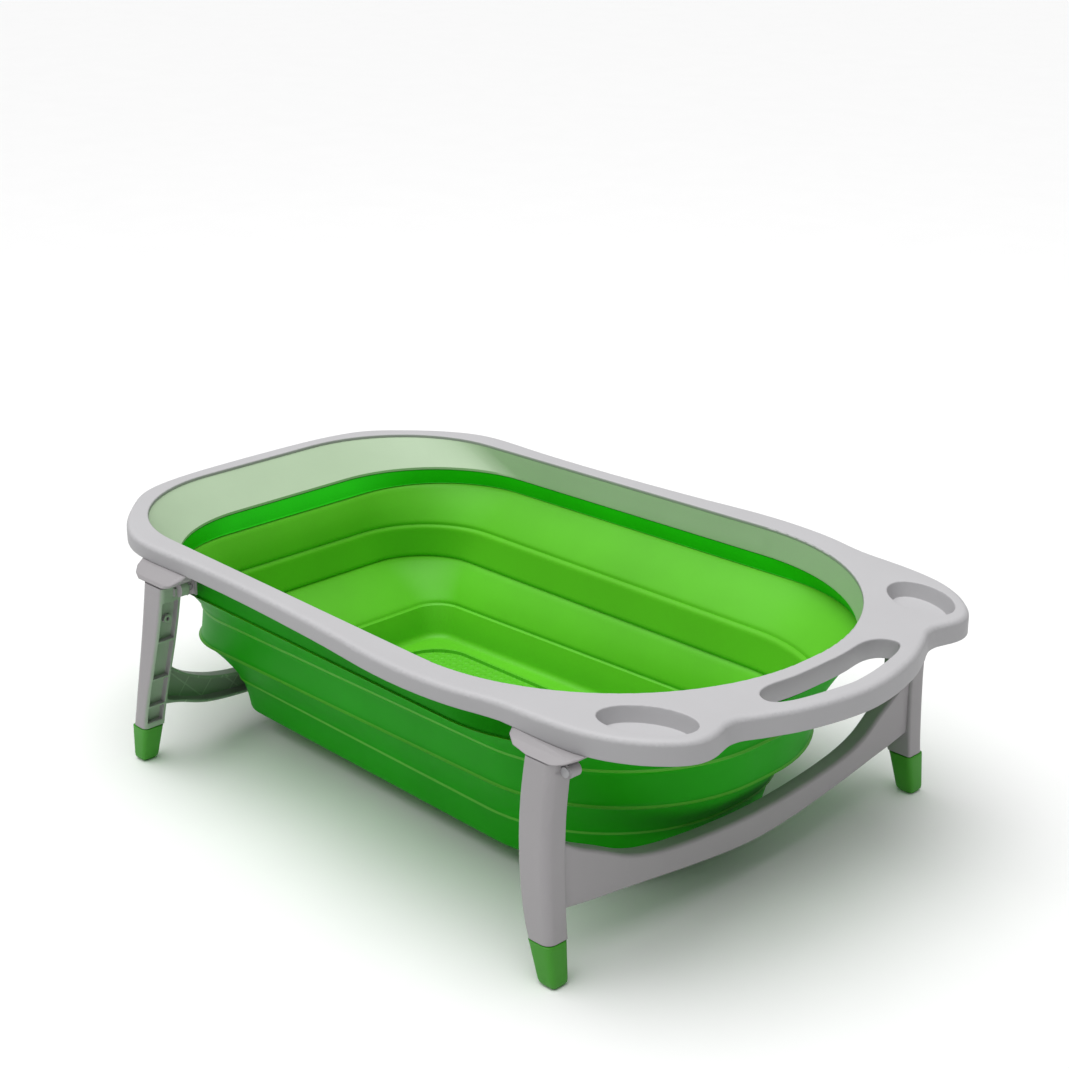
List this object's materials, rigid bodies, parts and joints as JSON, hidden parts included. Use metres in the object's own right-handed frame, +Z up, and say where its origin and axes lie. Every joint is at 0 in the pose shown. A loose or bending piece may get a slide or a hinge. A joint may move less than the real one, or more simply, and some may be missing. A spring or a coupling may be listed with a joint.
{
  "type": "folding baby bathtub",
  "caption": "Collapsible baby bath with a stepped soft basin, hard rim with soap dishes and carrying slot, and fold-in leg frames.",
  "frame": {"origin": "on the floor under the middle of the tub's bounding box", "axes": "+X along the length toward the carrying slot at the foot end, +Y across the width to the left, +Z up"},
  "size_m": [0.824, 0.5032, 0.226],
  "materials": {
    "light_grey_shell": "light grey polypropylene, satin",
    "pale_green_shell": "grey-green polypropylene, satin",
    "soft_green": "bright green soft thermoplastic rubber, satin",
    "green_shell": "bright green polypropylene, soft gloss",
    "grey_fitting": "mid grey plastic",
    "seal_rubber": "black rubber",
    "grey_frame": "warm grey polypropylene, satin",
    "spring_steel": "plain drawn wire",
    "screw_steel": "zinc plated",
    "pin_steel": "turned"
  },
  "bodies": {
    "rim_body": {"rim": "light_grey_shell", "collar_ring": "pale_green_shell", "collar_band": "soft_green", "upper_fold": "soft_green", "collar_screws": "screw_steel", "bracket_screws": "screw_steel", "bracket_foot_left": "grey_frame", "bracket_foot_right": "grey_frame", "bracket_head_left": "grey_frame", "bracket_head_right": "grey_frame", "hinge_pin_foot_left": "pin_steel", "hinge_pin_foot_right": "pin_steel", "hinge_pin_head_left": "pin_steel", "hinge_pin_head_right": "pin_steel"},
    "ring_body": {"middle_ring": "green_shell", "lower_fold": "soft_green"},
    "tray_body": {"tray": "green_shell", "drain_bush": "grey_fitting"},
    "plug_body": {"drain_plug": "grey_fitting", "plug_seal": "seal_rubber"},
    "foot_legs": {"foot_leg_frame": "grey_frame", "leg_cap_foot_left": "soft_green", "leg_cap_foot_right": "soft_green", "foot_lock_springs": "spring_steel"},
    "head_legs": {"head_leg_frame": "grey_frame", "leg_cap_head_left": "soft_green", "leg_cap_head_right": "soft_green", "head_lock_springs": "spring_steel"},
    "button_foot_left": {"lock_button_foot_left": "grey_fitting"},
    "button_foot_right": {"lock_button_foot_right": "grey_fitting"},
    "button_head_left": {"lock_button_head_left": "grey_fitting"},
    "button_head_right": {"lock_button_head_right": "grey_fitting"}
  },
  "joints": [
    {"name": "basin_collapse", "type": "slide", "parent": "rim_body", "child": "ring_body", "axis": [0, 0, 1], "range_m": [0, 0.078], "deforming": ["upper_fold"]},
    {"name": "tray_rise", "type": "slide", "parent": "ring_body", "child": "tray_body", "axis": [0, 0, 1], "range_m": [0, 0.088], "deforming": ["lower_fold"]},
    {"name": "foot_legs_fold", "type": "hinge", "parent": "rim_body", "child": "foot_legs", "pos_m": [0.264, 0, 0.195], "axis": [0, 1, 0], "range_deg": [0, 84]},
    {"name": "head_legs_fold", "type": "hinge", "parent": "rim_body", "child": "head_legs", "pos_m": [-0.214, 0, 0.195], "axis": [0, -1, 0], "range_deg": [0, 101]},
    {"name": "plug_lift", "type": "slide", "parent": "tray_body", "child": "plug_body", "axis": [0, 0, 1], "range_m": [0, 0.025]},
    {"name": "press_foot_left", "type": "slide", "parent": "foot_legs", "child": "button_foot_left", "axis": [0, -1, 0], "range_m": [0, 0.002], "stiffness_N_per_m": 600, "springref_m": -0.001},
    {"name": "press_foot_right", "type": "slide", "parent": "foot_legs", "child": "button_foot_right", "axis": [0, 1, 0], "range_m": [0, 0.002], "stiffness_N_per_m": 600, "springref_m": -0.001},
    {"name": "press_head_left", "type": "slide", "parent": "head_legs", "child": "button_head_left", "axis": [0, -1, 0], "range_m": [0, 0.002], "stiffness_N_per_m": 600, "springref_m": -0.001},
    {"name": "press_head_right", "type": "slide", "parent": "head_legs", "child": "button_head_right", "axis": [0, 1, 0], "range_m": [0, 0.002], "stiffness_N_per_m": 600, "springref_m": -0.001}
  ],
  "couplings": [
    {"joint": "tray_rise", "follows": "basin_collapse", "ratio": 1.1282},
    {"joint": "foot_legs_fold", "follows": "basin_collapse", "rad_per_m": 18.795},
    {"joint": "head_legs_fold", "follows": "basin_collapse", "rad_per_m": 22.599}
  ]
}
